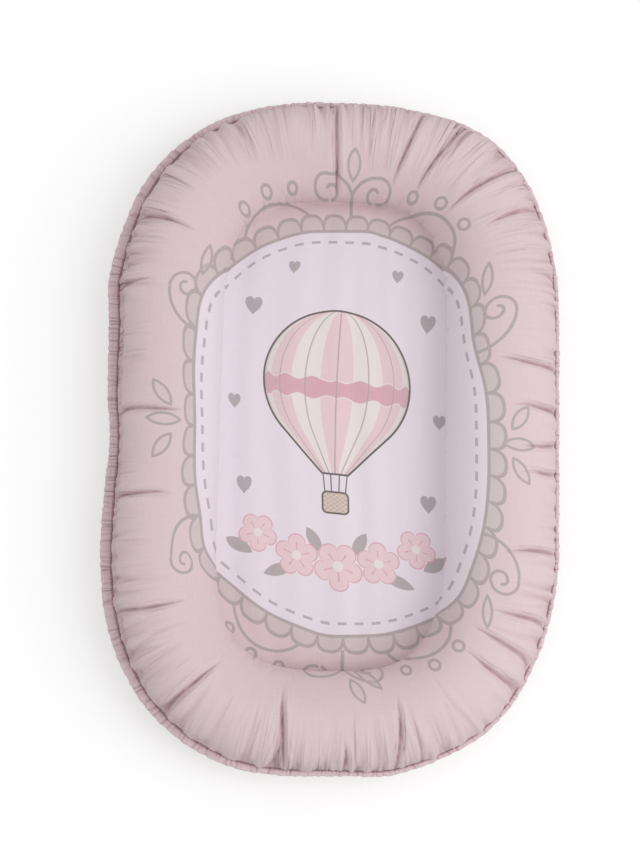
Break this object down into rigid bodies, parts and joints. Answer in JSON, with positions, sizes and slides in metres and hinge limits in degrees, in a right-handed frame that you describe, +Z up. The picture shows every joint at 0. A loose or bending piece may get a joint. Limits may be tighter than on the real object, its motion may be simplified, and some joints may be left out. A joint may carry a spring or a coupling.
{
  "type": "infant lounger",
  "caption": "Oval padded baby nest: a soft floor pad inside a stuffed bolster that runs all round, with a gathered elastic rim and a zip in the underside.",
  "frame": {"origin": "on the ground under the middle of the nest", "axes": "+X across the nest, to the right as seen in the picture; +Y along the nest, to its head end, which is the top of the picture; +Z up"},
  "size_m": [0.6, 0.9, 0.12],
  "materials": {
    "top_cover": "matt printed cotton, dusty pink with a white printed floor",
    "base_cover": "matt plain cotton",
    "fill": "white fibre wadding",
    "casing": "matt gathered cotton",
    "elastic": "woven elastic braid",
    "thread": "spun polyester sewing thread",
    "zip_tape": "woven polyester tape",
    "zip_coil": "nylon coil",
    "zip_metal": "nickel plate"
  },
  "bodies": {
    "nest": {"top_cover": "top_cover", "base_cover": "base_cover", "bolster_fill": "fill", "mattress_pad": "fill", "rim_casing": "casing", "rim_elastic": "elastic", "rim_seam_thread": "thread", "floor_seam_thread": "thread", "zip_tape_head": "zip_tape", "zip_tape_foot": "zip_tape", "zip_coil_head": "zip_coil", "zip_coil_foot": "zip_coil", "zip_top_stop_head": "zip_metal", "zip_top_stop_foot": "zip_metal", "zip_bottom_stop": "zip_metal"},
    "slider": {"zip_slider": "zip_metal"},
    "pull": {"zip_pull": "zip_metal"}
  },
  "joints": [
    {"name": "zip_slide", "type": "slide", "parent": "nest", "child": "slider", "axis": [-1, 0, 0], "range_m": [0, 0.235]},
    {"name": "zip_pull_flip", "type": "hinge", "parent": "slider", "child": "pull", "pos_m": [0.12153, -0.20034, 0.00345], "axis": [0, -1, 0], "range_deg": [0, 180]}
  ]
}
